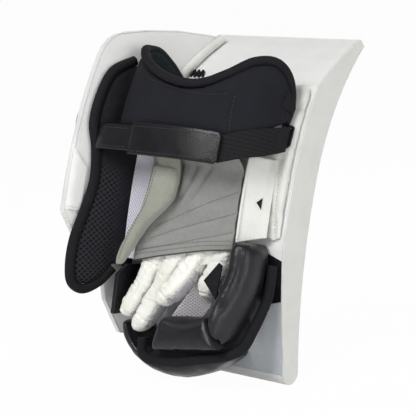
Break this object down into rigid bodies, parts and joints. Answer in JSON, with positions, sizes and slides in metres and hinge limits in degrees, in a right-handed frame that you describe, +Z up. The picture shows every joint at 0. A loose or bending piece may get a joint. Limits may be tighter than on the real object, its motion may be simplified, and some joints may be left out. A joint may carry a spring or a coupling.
{
  "type": "ice hockey goalkeeper's blocker",
  "caption": "Goalkeeper's blocker for the right hand: a curved padded board with a thumb-side wall, a glove with finger rolls, a padded cuff and a wrist strap.",
  "frame": {"origin": "on the ground under the middle of the whole blocker's box", "axes": "+Z up the board, +Y out of the puck face, +X to the little finger's side"},
  "size_m": [0.2384, 0.2438, 0.3682],
  "materials": {
    "foam_core": "matte",
    "stiff_plate": "satin",
    "white_leather": "satin",
    "grey_panel": "satin",
    "black_leather": "satin",
    "black_nylon": "matte",
    "teal_lining": "matte",
    "grey_suede": "matte",
    "white_mesh": "matte"
  },
  "bodies": {
    "board_and_glove": {"board_front_foam": "foam_core", "board_back_foam": "foam_core", "wall_foam": "foam_core", "board_stiffener": "stiff_plate", "wall_plate": "stiff_plate", "puck_face_skin": "white_leather", "thumb_side_gusset": "white_leather", "pinky_side_gusset": "white_leather", "hand_face_skin": "white_leather", "wall_outer_cover": "white_leather", "wall_inner_cover": "white_leather", "wall_foot_bead": "white_leather", "rim_fold_tab": "white_leather", "hand_back_pad": "white_leather", "pinky_side_panel": "white_leather", "lower_hand_panel": "grey_panel", "hand_face_inlay": "black_leather", "outer_strap_keeper": "black_leather", "webbing_anchor_tab": "black_leather", "finger_roll_side": "black_leather", "finger_roll_front": "black_leather", "finger_cup": "black_leather", "index_guard": "black_leather", "liner_pad": "black_nylon", "liner_binding": "black_nylon", "cuff_pad": "black_nylon", "cuff_binding": "black_nylon", "cuff_lace": "black_nylon", "cuff_side_tab": "black_nylon", "wrist_webbing": "black_nylon", "finger_roll_binding": "black_nylon", "loop_tab": "black_nylon", "cuff_lining": "teal_lining", "glove_palm": "grey_suede", "thumb_gusset": "white_mesh"},
    "pull_strap": {"pull_strap": "black_leather", "strap_hook_tape": "black_nylon", "strap_patch": "black_leather"},
    "thumb": {"thumb": "grey_suede"},
    "index_finger": {"index_finger": "white_leather"},
    "middle_finger": {"middle_finger": "white_leather"},
    "ring_finger": {"ring_finger": "white_leather"},
    "little_finger": {"little_finger": "white_leather"}
  },
  "joints": [
    {"name": "strap_hinge", "type": "hinge", "parent": "board_and_glove", "child": "pull_strap", "pos_m": [-0.08876, -0.07972, 0.2552], "axis": [0, -0.294, -0.9558], "range_deg": [0, 95]},
    {"name": "thumb_hinge", "type": "hinge", "parent": "board_and_glove", "child": "thumb", "pos_m": [-0.00429, -0.06364, 0.22665], "axis": [-1, 0, 0], "range_deg": [0, 35], "stiffness_Nm_per_rad": 0.08},
    {"name": "index_knuckle", "type": "hinge", "parent": "board_and_glove", "child": "index_finger", "pos_m": [-0.02329, -0.05951, 0.12422], "axis": [-1, 0, 0], "range_deg": [-10, 28], "stiffness_Nm_per_rad": 0.08},
    {"name": "middle_knuckle", "type": "hinge", "parent": "board_and_glove", "child": "middle_finger", "pos_m": [0.00521, -0.05841, 0.13069], "axis": [-1, 0, 0], "range_deg": [-10, 28], "stiffness_Nm_per_rad": 0.08},
    {"name": "ring_knuckle", "type": "hinge", "parent": "board_and_glove", "child": "ring_finger", "pos_m": [0.03371, -0.05387, 0.13634], "axis": [-1, 0, 0], "range_deg": [-10, 20], "stiffness_Nm_per_rad": 0.08},
    {"name": "little_knuckle", "type": "hinge", "parent": "board_and_glove", "child": "little_finger", "pos_m": [0.06221, -0.04515, 0.14022], "axis": [-1, 0, 0], "range_deg": [-6, 18], "stiffness_Nm_per_rad": 0.08}
  ]
}
